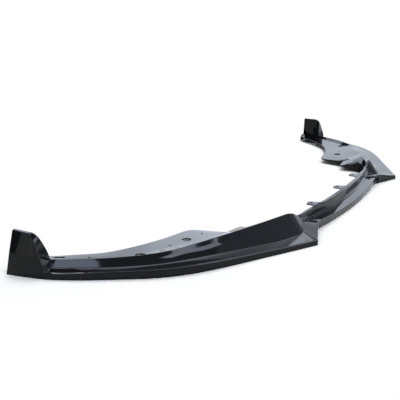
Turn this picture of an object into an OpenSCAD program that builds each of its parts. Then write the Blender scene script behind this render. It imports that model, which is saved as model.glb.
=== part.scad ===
// Front splitter lip of a passenger car: a moulded centre section and two mirrored side
// sections, joined by one screw on each side. Millimetres, +Z up, the car's front at -Y.
// The origin is the middle of the bounding box on the ground.

/* [Overall] */
// Width across the feet of the two winglets
lip_width = 1810; // [1500:10:2000]
// Depth from the rear of the winglets to the front corners
lip_depth = 540; // [450:5:640]
// Wall of the moulded shells
wall = 3; // [2:0.5:4]

/* [Blade edge] */
// Height of the outer edge along the side
side_edge_h = 18; // [14:1:24]
// Height of the outer edge at the front corners
corner_edge_h = 13; // [10:1:18]
// Height of the front edge of the centre section in the middle
centre_edge_h = 20; // [15:1:28]
// Height of the front edge beside the seams
joint_edge_h = 32; // [28:1:36]
// Width of the low shelf in front of each winglet
shelf_w = 17; // [8:1:20]
// Depth of that shelf below the blade
shelf_drop = 5.5; // [3:0.5:7]

/* [Riser and fin] */
// Height of the crest behind each winglet's foot
crest_h = 33; // [30:1:40]
// Height of the fin's peak at each front corner
peak_h = 65; // [52:1:80]
// Height of the plate that screws under the bumper
plate_h = 24; // [20:1:27]
// Height of the rear flange of the centre section
flange_h = 45; // [40:1:52]
// Depth of that flange
flange_d = 11; // [8:1:16]

/* [Winglets] */
// Height of the winglets
winglet_h = 98; // [70:1:130]
// Thickness of a winglet at its top
winglet_top_w = 11; // [9:0.5:14]

/* [Holes] */
// Diameter of the small screw holes in the plates
screw_hole_d = 7; // [4:0.5:9]
// Diameter of the large round holes in the plates
large_hole_d = 25; // [14:1:28]
// Length of the slot beside each winglet
slot_l = 27; // [18:1:30]
// Width of that slot
slot_w = 14; // [8:0.5:15]
// Diameter of the small hole in each pad
pad_hole_d = 5; // [3:0.5:8]
// Diameter of the holes in the three tabs
tab_hole_d = 8.5; // [5:0.5:12]

/* [Tabs] */
// Width of the rear tabs
tab_w = 30; // [22:1:40]
// Length of the rear tabs beyond the flange
tab_l = 28; // [22:1:40]
// Distance of the outer tabs from the middle
tab_x = 187; // [150:2:210]

/* [Joint] */
// Half distance between the two seams
seam_x = 260; // [250:1:266]
// Gap between the sections at a seam
seam_gap = 0.4; // [0.3:0.1:1]
// Clearance between the tongue and the side section
tongue_gap = 0.3; // [0.2:0.1:0.8]
// Thread diameter of the joining screws
screw_d = 5; // [4:0.5:6]
// Diameter of the screw heads
head_d = 9; // [8:0.5:11]
// Height of the screw heads
head_h = 2.6; // [2:0.1:4]
// Width of the sunk seat beyond each screw head
seat_margin = 1.5; // [1:0.1:2]

/* [Hidden] */
$fn = 48;

gloss_black = "#15161a";
screw_steel = "#2a2b2e";
fit = 0.3;            // clearance round the screws
centre_slices = 36;   // slices along the centre section
arc_steps = 2;        // segments in each rounded corner of a slice

// The plan is drawn for this width and depth, and stretched to the chosen ones.
plan_half_w = 905;
plan_depth = 540;
kx = lip_width / 2 / plan_half_w;
ky = lip_depth / plan_depth;
function plan(p) = [p[0] * kx, p[1] * ky];

// Curves of a side section. Each row is station, distance from the middle, distance
// forward of the winglets' rear end, height, and 1 where the curve has a corner.
edge_z = side_edge_h;
low_z = edge_z - shelf_drop + 1.5;
seam_edge_h = joint_edge_h - 5;
wing_base_h = 9;
outer_edge = [
    [0, 905, 6, wing_base_h, 0], [1, 899, 45, wing_base_h, 0], [2, 885, 100, low_z, 0],
    [3, 868, 137, low_z, 0], [4, 842, 184, edge_z - 1, 0], [5, 806, 237, edge_z, 0],
    [6, 771, 289, edge_z + 1, 0], [7, 735, 330, edge_z + 1, 0], [8, 690, 368, edge_z + 1, 0],
    [9, 636, 402, edge_z, 0], [10, 578, 434, edge_z - 2, 0], [11, 520, 465, edge_z - 3, 0],
    [12, 463, 496, corner_edge_h + 0.5, 0], [13, 415, 521, corner_edge_h, 0],
    [13.5, 380, 540, corner_edge_h, 1], [14, 349, 526, corner_edge_h + 5, 0],
    [15, 287, 499, joint_edge_h - 0.5, 0], [16, seam_x, 498, seam_edge_h, 0]];
foot_z = edge_z + 2;
foot_line = [
    [0, 877, 4, edge_z + 9, 0], [1, 874, 45, edge_z + 6, 0], [2, 860.5, 99, foot_z, 0],
    [3, 845, 132, foot_z, 0], [4, 822, 173, foot_z, 0], [5, 787, 225, foot_z, 0],
    [6, 750, 273, foot_z + 1, 0], [7, 712, 309, foot_z + 1, 0], [8, 664, 343, foot_z + 1, 0],
    [9, 610, 374, foot_z, 0], [10, 553, 404, foot_z - 2, 0], [11, 496, 435, foot_z - 3, 0],
    [12, 440, 465, corner_edge_h + 3, 0], [13, 367, 487, corner_edge_h + 2, 1],
    [13.5, 346, 488, corner_edge_h + 5, 0], [14, 326, 478, corner_edge_h + 10, 0],
    [14.5, 308, 466, corner_edge_h + 14, 0], [15, 290, 465, corner_edge_h + 14, 0],
    [16, seam_x, 465, corner_edge_h + 13, 0]];
rise = peak_h - crest_h;
crest_line = [
    [0, 872, 3, crest_h - 2, 0], [1, 867, 45, crest_h - 2, 0], [2, 842, 96, crest_h - 1, 0],
    [3, 828, 124, crest_h, 0], [4, 803, 164, crest_h + 1, 0], [5, 768, 212, crest_h + 2, 0],
    [6, 726, 257, crest_h + 3, 0], [7, 684, 292, crest_h + 0.14 * rise, 0],
    [8, 636, 321, crest_h + 0.25 * rise, 0], [9, 586, 350, crest_h + 0.44 * rise, 0],
    [10, 530, 379, crest_h + 0.6 * rise, 0], [11, 474, 405, crest_h + 0.75 * rise, 0],
    [12, 418, 428, crest_h + 0.88 * rise, 0], [13, 362, 450, peak_h, 1],
    [13.5, 343, 456, peak_h - 4, 0], [14, 327, 457, peak_h - 12, 0],
    [14.5, 311, 455, flange_h + 1, 0], [15, 290, 459, flange_h - 1, 0],
    [16, seam_x, 462, flange_h - 2, 0]];
toe_line = [
    [0, 862, 2, crest_h - 3, 0], [1, 857, 45, crest_h - 4, 0], [2, 831, 92, plate_h + 3, 0],
    [3, 817, 116, plate_h + 1, 0], [4, 791, 154, plate_h + 1, 0], [5, 756, 201, plate_h + 2, 0],
    [6, 714, 245, plate_h + 3, 0], [7, 672, 278, plate_h + 7, 0], [8, 625, 306, plate_h + 14, 0],
    [9, 576, 336, crest_h + 0.36 * rise, 0], [10, 521, 366, crest_h + 0.48 * rise, 0],
    [11, 466, 391, crest_h + 0.56 * rise, 0], [12, 411, 415, crest_h + 0.64 * rise, 0],
    [13, 357, 438, peak_h - 9, 0], [13.5, 339, 446, peak_h - 12, 0],
    [14, 323, 449, flange_h + 3, 0], [14.5, 308, 450, flange_h, 0],
    [15, 290, 455, flange_h - 1.5, 0], [16, seam_x, 458, flange_h - 2, 0]];
bend_line = [
    [0, 856, 1, plate_h + 2, 0], [1, 840, 45, plate_h + 1, 0], [2, 817, 84, plate_h, 0],
    [3, 799, 110, plate_h, 0], [4, 772, 148, plate_h, 0], [5, 736, 188, plate_h, 0],
    [6, 694, 226, plate_h, 0], [7, 652, 256, plate_h, 0], [8, 600, 280, plate_h, 0],
    [9, 550, 302, plate_h + 1, 0], [10, 503, 325, plate_h + 3, 0], [11, 465, 352, plate_h + 5, 0],
    [11.5, 437, 380, plate_h + 9, 0], [12, 412, 404, plate_h + 12, 0],
    [13, 362, 427, plate_h + 14, 0], [14, 326, 442, flange_h - 4, 0],
    [15, 290, 453, flange_h - 2, 0], [16, seam_x, 456, flange_h - 2, 0]];
inner_edge = [
    [0, 848, 0, plate_h - 3, 0], [0.5, 832, 18, plate_h - 3, 0], [1, 814, 42, plate_h - 4, 0],
    [2, 797, 68, plate_h - 4, 0], [3, 768, 101, plate_h - 4, 0], [4, 737, 135, plate_h - 5, 0],
    [5, 700, 160, plate_h - 5, 0], [6, 648, 186, plate_h - 4, 0], [7, 592, 208, plate_h - 3, 0],
    [8, 538, 221, plate_h - 3, 0], [8.75, 496, 224, plate_h - 5, 0],
    [9.25, 479, 234, plate_h - 6, 0], [10, 472, 268, plate_h - 5, 0],
    [10.75, 463, 324, plate_h - 2, 1], [11.25, 403, 331, plate_h - 4, 1],
    [11.5, 399, 342, plate_h - 3, 1], [11.75, 412, 368, plate_h + 2, 0],
    [12, 421, 390, plate_h + 5, 0], [12.5, 402, 408, plate_h + 4, 0],
    [13, 370, 420, plate_h + 5, 0], [13.5, 345, 432, plate_h + 9, 0],
    [14, 326, 440, flange_h - 7, 0], [15, 290, 451, flange_h - 3, 0],
    [16, seam_x, 452, flange_h - 2.5, 0]];
// Depth of the turned-down rim of the inner edge, by station
rim = [
    [0, wall + 1], [8.75, wall + 1], [9.25, wall + 1], [10.75, 11], [11.25, wall + 1],
    [11.5, wall + 2], [12, plate_h + 3], [12.5, 16], [13, wall + 2], [16, wall + 0.5]];
// Width and height of the step on top of the outer edge, by station
step_w = [[0, 3], [1.5, shelf_w], [3.25, shelf_w], [4.25, 3], [16, 3]];
step_h = [[0, 1.5], [1.5, shelf_drop], [3.25, shelf_drop], [4.25, 2], [12.5, 1], [16, 0.8]];
// How far the edge leans out at its top, and the height of the undercut below it
lean = [[0, -2.5], [1.8, -2.5], [2, 0], [13.5, 0], [15, 7], [16, 5]];
corner_t = 13.5;
pad_t = 15;
undercut = [[0, 1], [corner_t, 1], [pad_t, 13], [pad_t + 0.01, 1], [16, 1]];

// Point on a curve at a station: a smooth curve through its rows, broken at the corners.
function row(c, t, i = 0) = i >= len(c) - 2 || t < c[i + 1][0] ? i : row(c, t, i + 1);
function rest(r) = [r[1], r[2], r[3]];
function chord(c, i) = (rest(c[i + 1]) - rest(c[i])) / (c[i + 1][0] - c[i][0]);
function slope_in(c, i) = i == 0 || c[i][4] == 1 ? chord(c, max(i - 1, 0)) :
    i == len(c) - 1 ? chord(c, i - 1) : (chord(c, i - 1) + chord(c, i)) / 2;
function slope_out(c, i) = i == 0 || c[i][4] == 1 ? chord(c, i) :
    i == len(c) - 1 ? chord(c, i - 1) : (chord(c, i - 1) + chord(c, i)) / 2;
function hermite(a, b, sa, sb, h, q) =
    (2 * q * q * q - 3 * q * q + 1) * a + (q * q * q - 2 * q * q + q) * h * sa +
    (3 * q * q - 2 * q * q * q) * b + (q * q * q - q * q) * h * sb;
function on_curve(c, t) = let (i = row(c, t), h = c[i + 1][0] - c[i][0], q = (t - c[i][0]) / h)
    hermite(rest(c[i]), rest(c[i + 1]), slope_out(c, i), slope_in(c, i + 1), h, q);

// A slice is a profile of [across, height, corner radius] points. Across is measured
// along the slice's plan line, from the outer edge inward.
function unit(v) = v / norm(v);
function pt(r) = [r[0], r[1]];
function round_corner(a, b, c, r) = let (
    u = unit(a - b), v = unit(c - b), half = acos(max(-1, min(1, u * v))) / 2,
    room = 0.45 * min(norm(a - b), norm(c - b)),
    cut = min(r / tan(max(half, 1)), room), bulge = b + cut * (u + v) / 2)
    half > 89 ? [for (k = [0 : arc_steps]) b + (k - arc_steps / 2) * 0.1 * v] :
    [for (k = [0 : arc_steps]) let (q = k / arc_steps)
        (1 - q) * (1 - q) * (b + cut * u) + 2 * q * (1 - q) * b + q * q * (b + cut * v)];
function rounded(p) = concat([pt(p[0])],
    [for (i = [1 : len(p) - 2]) each round_corner(pt(p[i - 1]), pt(p[i]), pt(p[i + 1]), p[i][2])],
    [pt(p[len(p) - 1])]);
// The same profile moved inward by the wall, with mitred corners.
function side_of(a, b) = let (d = unit(b - a)) [d[1], -d[0]];
function mitre(a, b, c, w) = let (m = side_of(a, b), n = side_of(b, c), s = m + n)
    b + s * (w / max(0.3, 1 + m * n));
function thinned(p, w) = let (n = len(p) - 1) concat(
    [pt(p[0]) + [w / side_of(pt(p[0]), pt(p[1]))[0], 0]],
    [for (i = [1 : n - 1]) mitre(pt(p[i - 1]), pt(p[i]), pt(p[i + 1]), w)],
    [pt(p[n]) + w * side_of(pt(p[n - 1]), pt(p[n]))]);
// The inner line of a slice, with as many points as its rounded outer line.
function inset(p, w) = let (q = thinned(p, w))
    rounded([for (i = [0 : len(p) - 1]) [q[i][0], q[i][1], p[i][2]]]);

// Place of a slice point: along the plan line through the given plan points.
function reach(q) = [for (i = 0, s = 0; i < len(q); s = s + (i < len(q) - 1 ?
    norm(q[i + 1] - q[i]) : 0), i = i + 1) s];
function piece(s, u, i = 0) = i >= len(s) - 2 || u < s[i + 1] ? i : piece(s, u, i + 1);
function along(q, s, u) = let (i = piece(s, u))
    q[i] + (q[i + 1] - q[i]) * (u - s[i]) / (s[i + 1] - s[i]);
function placed(q, s, p) = let (a = along(q, s, p[0])) [a[0], lip_depth / 2 - a[1], p[1]];

// A solid through a list of slices of equal length. Each slice is its outer points and
// then its inner points backwards; turned marks slices that run the other way round.
module sweep(slices, turned = false) {
    n = len(slices[0]);
    m = len(slices);
    points = [for (s = slices) each turned ? reversed(s) : s];
    sides = [for (i = [0 : m - 2]) for (j = [0 : n - 1]) let (k = (j + 1) % n)
        each [[i * n + j, (i + 1) * n + k, i * n + k], [i * n + j, (i + 1) * n + j, (i + 1) * n + k]]];
    z = (m - 1) * n;
    ends = [for (j = [0 : n / 2 - 2]) let (k = n - 1 - j)
        each [[j, j + 1, k - 1], [j, k - 1, k], [z + j, z + k - 1, z + j + 1], [z + j, z + k, z + k - 1]]];
    polyhedron(points = points, faces = concat(sides, ends), convexity = 10);
}
function reversed(p) = [for (i = [len(p) - 1 : -1 : 0]) p[i]];

// Winglet, by distance forward: height of its outer and inner top edges as a share of
// the whole, and distance of its top edges and of its inner foot from the middle
wing_out_z = [[57, 1], [61, 0.975], [67, 0.945], [73.5, 0.89], [77, 0.82], [81, 0.71], [86, 0.59],
    [90.5, 0.47], [94.5, 0.35], [98, 0.22], [101, 0.12]];
wing_in_z = [[63, 1], [69, 0.975], [74.5, 0.945], [79, 0.89], [80.5, 0.82], [82.5, 0.71],
    [85, 0.59], [87, 0.47], [88.5, 0.36], [91, 0.3]];
wing_out_x = [[6, 880], [45, 881], [61, 881.5], [73, 884], [100, 885]];
wing_in_x = [[45, 0], [74.5, 0], [79, 2], [80.5, 5], [82.5, 9.5], [85, 14.5], [88.5, 24]];
wing_foot_x = [[6, 881], [45, 868], [75, 856], [88, 843], [100, 838]];
wing_top_x = 880.5;
wing_t = 2.1;
wing_blend = [[88, 0], [99, 1]];
edge_blend = [[96, 0], [101, 1]];
function blend(a, b, q) = [for (i = [0 : 2]) (1 - q) * a[i] + q * b[i]];

// Slice of a side section at a station. The inner wall of the winglet's front runs ahead
// of its outer wall, so that the sloping front has a full wall too.
function side_points(t) = [for (c = [outer_edge, foot_line, crest_line, toe_line, bend_line,
    inner_edge]) on_curve(c, t)];
function side_profile(t, c, s, ahead) = let (
    z = [for (v = c) v[2]], w = lookup(t, step_w), h = lookup(t, step_h), out = -lookup(t, lean),
    low = lookup(t, undercut), cut = t > corner_t && t <= pad_t ? 1 : 0, tilt = out / z[0],
    foot = [[0, 0, 0], [cut ? 0 : low * tilt, low, 0.5],
        [cut ? out : (low + 0.5) * tilt, low + 0.5, 0.5]],
    blade = [[out, z[0], 1.5], [out + w, z[0] + 0.4, 1], [out + w + h / 2, z[0] + h, 1],
        [s[1], z[1], 5], [s[2], z[2], 3]],
    y = c[0][1] + ahead, zo = winglet_h * lookup(y, wing_out_z), zi = winglet_h * lookup(y, wing_in_z),
    top_x = lookup(y, wing_out_x), uo = max(0.4, c[0][0] - top_x),
    ui = c[0][0] - (wing_top_x - winglet_top_w - lookup(y, wing_in_x)),
    uf = c[0][0] - lookup(y, wing_foot_x), zf = z[2] - 1,
    wing = [[uo * 0.45, max(zo * 0.5, z[0]), 12], [uo, zo, 2.5], [ui, max(zi, zf + 2), 3],
        [ui + 0.3 * (uf - ui), 0.45 * max(zi, zf + 2) + 0.55 * zf, 12], [uf, zf, 4]],
    e = lookup(y, edge_blend), m = lookup(y, wing_blend),
    upper = t > wing_t ? blade : [for (i = [0 : 4]) blend(wing[i], blade[i], i < 2 ? e : m)])
    concat(foot, upper, [[s[3], z[3], 3], [s[4], z[4], 16], [s[5], z[5], 2],
        [s[5], z[5] - lookup(t, rim), 0]]);
// The rear end is closed by a wall, where the inner wall's points lie in a low line. It
// leans forward at the top.
end_t = 0.07;
rake = [[0, 5], [1, 0]];
function low_line(p) = [for (i = [0 : len(p) - 1]) [p[i][0], 0.6 + 0.05 * i + 0.03 * p[i][1]]];
function side_slice(t) = let (
    c = side_points(t), q = [for (v = c) plan(v)], s = reach(q),
    inner = inset(side_profile(t, c, s, t < wing_t ? 0.75 * wall : 0), wall),
    ring = concat(rounded(side_profile(t, c, s, 0)), reversed(t > end_t ? inner : low_line(inner))))
    [for (p = ring) let (v = placed(q, s, p)) v - [0, lookup(t, rake) * v[2] / winglet_h, 0]];
last_t = outer_edge[len(outer_edge) - 1][0];
side_stations = concat([0, end_t, end_t + 0.03, 0.4, 0.7, 1], [for (t = [1.15 : 0.05 : 2.11]) t],
    [for (t = [2.25 : 0.25 : last_t]) t]);
module side_shell() {
    sweep([for (t = side_stations) side_slice(t)]);
}

// Upright hole through the plate at a plan point: round, or a slot of length l turned by a.
module plate_hole(p, d, l = 0, a = 0) {
    q = plan(p);
    translate([q[0], lip_depth / 2 - q[1], 0]) rotate([0, 0, a]) {
        for (e = [-1, 1]) translate([e * max(l - d, 0) / 2, 0, 0]) cylinder(h = peak_h, d = d);
        if (l > d) translate([d / 2 - l / 2, -d / 2, 0]) cube([l - d, d, peak_h]);
    }
}
small_holes = [[781, 141], [619, 255], [503, 276]];
large_holes = [[711, 233], [564, 268]];
slot_at = [813.5, 80.5];
slot_turn = 56;
pad_hole_at = [397, 517];
module plate_holes() {
    for (p = small_holes) plate_hole(p, screw_hole_d);
    for (p = large_holes) plate_hole(p, large_hole_d);
    plate_hole(slot_at, slot_w, slot_l, slot_turn);
    plate_hole(pad_hole_at, pad_hole_d);
}

// Joint: a flat seat sunk round each joining screw, in the side section's pad
screw_at = plan([291, 478]);
seat_top = corner_edge_h + 15;
seat_d = head_d + 2 * seat_margin;
screw_l = 3.5 * wall;
module at_screw() translate([screw_at[0], lip_depth / 2 - screw_at[1], 0]) children();

module side_section() {
    difference() {
        side_shell();
        plate_holes();
        at_screw() translate([0, 0, seat_top]) cylinder(h = wall, d = seat_d);
        at_screw() translate([0, 0, seat_top - 2 * wall]) cylinder(h = 3 * wall, d = screw_d + 2 * fit);
    }
}
module left_section() color(gloss_black) side_section();
module right_section() color(gloss_black) mirror([1, 0, 0]) side_section();

// Centre section. Rows are distance from the middle twice, distance forward, height, 0.
centre_bottom = [[0, 0, 516, 0, 0], [60, 60, 515.5, 0, 0], [130, 130, 511, 0, 0],
    [196, 196, 506, 0, 0], [seam_x, seam_x, 498, 0, 0]];
centre_edge = [[0, 0, 516, centre_edge_h - 3, 0], [119, 119, 512.5, centre_edge_h - 1, 0],
    [163, 163, 510, centre_edge_h + 1, 0], [204, 204, 508, centre_edge_h + 3.5, 0],
    [seam_x, seam_x, 503, seam_edge_h, 0]];
centre_foot = [[0, 0, 486, centre_edge_h + 5, 0], [125, 125, 481, centre_edge_h + 4, 0],
    [187, 187, 474, centre_edge_h + 4.5, 0], [217, 217, 470.5, centre_edge_h + 5, 0],
    [seam_x, seam_x, 465, centre_edge_h + 6, 0]];
centre_crest = [[0, 0, 485, flange_h + 1.5, 0], [125, 125, 479, flange_h + 0.5, 0],
    [191, 191, 473, flange_h - 1, 0], [230, 230, 468, flange_h - 1.5, 0],
    [seam_x, seam_x, 462, flange_h - 2, 0]];
centre_rear = [[0, 0, 487 - flange_d, flange_h + 7, 0],
    [125, 125, 479 - flange_d, flange_h + 3, 0], [191, 191, 474 - flange_d, flange_h + 1.5, 0],
    [230, 230, 467 - flange_d, flange_h, 0],
    [seam_x, seam_x, 452, flange_h - 2, 0]];
function centre_slice(x) = let (
    c = [for (k = [centre_bottom, centre_edge, centre_foot, centre_crest, centre_rear])
        on_curve(k, abs(x) / kx)],
    y = [for (v = c) (c[0][1] - v[1]) * ky], z = [for (v = c) v[2]],
    profile = [[2.5, 0, 0], [0, 3.5, 1], [y[1], z[1], 2], [y[2] - 8, z[2] - 2.5, 1],
        [y[2] - 6, z[2] - 1, 1], [y[2], z[2], 3], [y[3], z[3], 3], [y[4], z[4], 2],
        [y[4], z[4] - wall - 2, 0]],
    ring = concat(rounded(profile), reversed(inset(profile, wall))))
    [for (p = ring) [x, lip_depth / 2 - c[0][1] * ky + p[0], p[1]]];
centre_half = seam_x * kx - seam_gap;
module centre_shell() {
    sweep([for (i = [0 : centre_slices]) centre_slice(centre_half * (2 * i / centre_slices - 1))],
        turned = true);
}

// Tab with a rounded end and a flared root, which starts inside the wall of the rear flange
tab_r = tab_w / 3;
tab_in = wall / 2;
tab_flare = 8;
tab_hole_back = 11;
module tab(x, rear, top) translate([x, lip_depth / 2 - rear, top - wall]) linear_extrude(wall)
    difference() {
        union() {
            translate([-tab_w / 2, -tab_in]) square([tab_w, tab_l - tab_r + tab_in]);
            translate([tab_r - tab_w / 2, 0]) square([tab_w - 2 * tab_r, tab_l]);
            for (e = [-1, 1]) translate([e * (tab_w / 2 - tab_r), tab_l - tab_r]) circle(tab_r);
            polygon([[-tab_w / 2 - tab_flare, -tab_in], [tab_w / 2 + tab_flare, -tab_in],
                [tab_w / 2, tab_flare], [-tab_w / 2, tab_flare]]);
        }
        translate([0, tab_l - tab_hole_back]) circle(d = tab_hole_d);
    }
module tabs() {
    for (e = [-1, 0, 1]) {
        root = on_curve(centre_rear, abs(e) * tab_x);
        tab(e * tab_x * kx, root[1] * ky, root[2]);
    }
}

// Tongue: runs from under the centre section's ledge to under the side section's pad
function tongue_end(a, b, share, z_drop) = let (m = a + (b - a) * share, q = plan(m))
    [[q[0], lip_depth / 2 - q[1], m[2] - z_drop], [q[0], lip_depth / 2 - q[1], m[2] - z_drop - wall]];
function tongue_slice(a, b, z_drop) = let (
    f = tongue_end(a, b, 0.2, z_drop), r = tongue_end(a, b, 0.82, z_drop)) [f[0], r[0], r[1], f[1]];
// The pad slopes, so its wall measured upright is a little thicker than the wall itself.
pad_slope = 1.12;
under_pad = wall * pad_slope + tongue_gap;
module tongue() {
    sweep(concat(
        [for (t = [14.5 : 0.25 : 16]) tongue_slice(on_curve(outer_edge, t), on_curve(foot_line, t),
            under_pad)],
        [for (x = [[1, under_pad], [3, wall / 2], [14, wall / 2]]) tongue_slice(
            on_curve(centre_edge, seam_x - x[0]), on_curve(centre_foot, seam_x - x[0]), x[1])]));
}
module centre_section() color(gloss_black) {
    difference() {
        union() {
            // With one child minkowski() changes no shape: it keeps shell and tongues one mesh.
            minkowski() union() {
                centre_shell();
                for (m = [0, 1]) mirror([m, 0, 0]) tongue();
            }
            tabs();
        }
        for (m = [0, 1]) mirror([m, 0, 0]) at_screw() cylinder(h = peak_h, d = screw_d + fit);
    }
}

// Button head screw with a hexagon socket
socket_w = 0.55 * screw_d;
module joint_screw() translate([0, 0, seat_top]) difference() {
    rotate_extrude() polygon([[0, -screw_l], [screw_d / 2 - 0.5, -screw_l],
        [screw_d / 2, 0.5 - screw_l], [screw_d / 2, 0], [head_d / 2, 0], [head_d / 2, 0.4 * head_h],
        [0.42 * head_d, 0.75 * head_h], [0.3 * head_d, head_h], [0, head_h]]);
    translate([0, 0, head_h / 3]) cylinder(h = head_h, d = socket_w / cos(30), $fn = 6);
}
module joint_screws() color(screw_steel) {
    for (m = [0, 1]) mirror([m, 0, 0]) at_screw() joint_screw();
}

left_section();
right_section();
centre_section();
joint_screws();
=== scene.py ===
import math
import bpy
import numpy as np
from mathutils import Matrix, Vector


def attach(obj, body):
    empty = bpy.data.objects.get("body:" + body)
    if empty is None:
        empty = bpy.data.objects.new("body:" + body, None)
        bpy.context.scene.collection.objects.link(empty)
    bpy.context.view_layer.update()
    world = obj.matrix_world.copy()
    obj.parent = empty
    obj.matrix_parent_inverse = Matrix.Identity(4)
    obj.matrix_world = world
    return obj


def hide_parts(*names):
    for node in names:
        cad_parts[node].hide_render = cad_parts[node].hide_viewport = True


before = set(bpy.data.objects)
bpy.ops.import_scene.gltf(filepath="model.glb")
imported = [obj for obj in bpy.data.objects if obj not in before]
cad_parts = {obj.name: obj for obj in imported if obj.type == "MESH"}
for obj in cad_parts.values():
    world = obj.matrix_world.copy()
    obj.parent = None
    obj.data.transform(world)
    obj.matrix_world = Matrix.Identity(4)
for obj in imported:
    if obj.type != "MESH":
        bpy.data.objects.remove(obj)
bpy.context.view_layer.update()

print("frame loaded")

mm = 0.001          # the shapes are worked out in millimetres, as the part's source is
lipDepth = 540      # from the rear ends of the winglets to the foremost corners
crispAngles = {"mouldings": 32, "screws": 30}       # degrees, creases sharper than this stay crisp

# The main sizes, as in the part's source
lip = {
    "wall": 3, "sideEdge": 18, "cornerEdge": 13, "centreEdge": 20, "jointEdge": 32,
    "shelfWidth": 17, "shelfDrop": 5.5, "crest": 33, "peak": 65, "plate": 24,
    "flange": 45, "flangeDepth": 11, "winglet": 98, "wingletTop": 11, "seamX": 260, "seamGap": 0.4,
}


# Curves, slices and sweeps, shared by the mouldings
# A curve's blur spans at most a share of its stretch, and is left out where it is under part of a point.
# A corner takes at most a share of the sides beside it, and a nearly straight one becomes a short line.
# The mitre floor keeps the sharp corners of a hidden wall from running away.
curves = {"spreadShare": 0.06, "leastPoints": 4, "narrowest": 0.3, "softPoints": 9}
corners = {"mostShare": 0.45, "straightHalf": 89, "straightLine": 0.2, "mitreFloor": 0.3}


def look(table, t):
    xs, ys = zip(*table)
    return float(np.interp(t, xs, ys))


def softLook(table, t, reach=3):
    # The table's mean over a short range, so that its corners are rounded off
    return float(np.mean([look(table, t + d * reach) for d in np.linspace(-1, 1, curves["softPoints"])]))


def chord(rows, i):
    return (np.array(rows[i + 1][1:4]) - np.array(rows[i][1:4])) / (rows[i + 1][0] - rows[i][0])


def slopeAt(rows, i, leaving):
    if i == 0:
        return chord(rows, 0)
    if i == len(rows) - 1:
        return chord(rows, i - 1)
    if rows[i][4]:
        return chord(rows, i if leaving else i - 1)
    return (chord(rows, i - 1) + chord(rows, i)) / 2


def onRows(rows, t):
    i = 0
    while i < len(rows) - 2 and t >= rows[i + 1][0]:
        i += 1
    h = rows[i + 1][0] - rows[i][0]
    q = (t - rows[i][0]) / h
    a, b = np.array(rows[i][1:4]), np.array(rows[i + 1][1:4])
    return ((2 * q**3 - 3 * q**2 + 1) * a + (q**3 - 2 * q**2 + q) * h * slopeAt(rows, i, True)
            + (3 * q**2 - 2 * q**3) * b + (q**3 - q**2) * h * slopeAt(rows, i + 1, False))


def blurred(points, width):
    # Gaussian along the curve, with its ends held
    if width < curves["narrowest"]:
        return points
    n = min(int(3 * width) + 1, len(points) - 1)
    head = 2 * points[0] - points[n:0:-1]
    tail = 2 * points[-1] - points[-2:-n - 2:-1]
    full = np.vstack([head, points, tail])
    k = np.exp(-0.5 * (np.arange(-n, n + 1) / width) ** 2)
    k /= k.sum()
    return np.stack([np.convolve(full[:, c], k, "valid") for c in range(3)], 1)


def faired(rows, step, spread, crease):
    # Smooth between the flagged corners, which keep only a small rounding
    flagged = [0] + [i for i in range(1, len(rows) - 1) if rows[i][4]] + [len(rows) - 1]
    stations, points = [], []
    for a, b in zip(flagged, flagged[1:]):
        span = rows[b][0] - rows[a][0]
        t = np.linspace(rows[a][0], rows[b][0], max(curves["leastPoints"], round(span / step) + 1))
        width = min(spread, curves["spreadShare"] * span) / (t[1] - t[0])
        p = blurred(np.array([onRows(rows, v) for v in t]), width)
        first = 1 if stations else 0
        stations.append(t[first:])
        points.append(p[first:])
    return np.concatenate(stations), blurred(np.vstack(points), crease / step)


def at(curve, t):
    return np.array([np.interp(t, curve[0], curve[1][:, c]) for c in range(3)])


def unit(v):
    return v / np.linalg.norm(v)


def rounded(profile, steps):
    # Each inner point of the profile becomes a short curve of its own radius
    out = [np.array(profile[0][:2], float)]
    for i in range(1, len(profile) - 1):
        a, b, c = (np.array(profile[k][:2], float) for k in (i - 1, i, i + 1))
        u, v = unit(a - b), unit(c - b)
        half = math.degrees(math.acos(max(-1, min(1, float(u @ v))))) / 2
        cut = min(profile[i][2] / math.tan(math.radians(max(half, 1))),
                  corners["mostShare"] * min(np.linalg.norm(a - b), np.linalg.norm(c - b)))
        for q in np.linspace(0, 1, steps + 1):
            if half > corners["straightHalf"]:
                out.append(b + (q - 0.5) * corners["straightLine"] * v)
            else:
                out.append((1 - q) ** 2 * (b + cut * u) + 2 * q * (1 - q) * b + q * q * (b + cut * v))
    out.append(np.array(profile[-1][:2], float))
    return out


def inset(profile, wall, steps):
    # The profile moved inwards by a wall's thickness, with its corners rounded
    p = [np.array(r[:2], float) for r in profile]

    def side(a, b):
        d = unit(b - a)
        return np.array([d[1], -d[0]])

    out = [p[0] + np.array([wall / side(p[0], p[1])[0], 0])]
    for i in range(1, len(p) - 1):
        m, n = side(p[i - 1], p[i]), side(p[i], p[i + 1])
        out.append(p[i] + (m + n) * wall / max(corners["mitreFloor"], 1 + float(m @ n)))
    out.append(p[-1] + wall * side(p[-2], p[-1]))
    return rounded([[*q, r[2]] for q, r in zip(out, profile)], steps)


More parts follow.
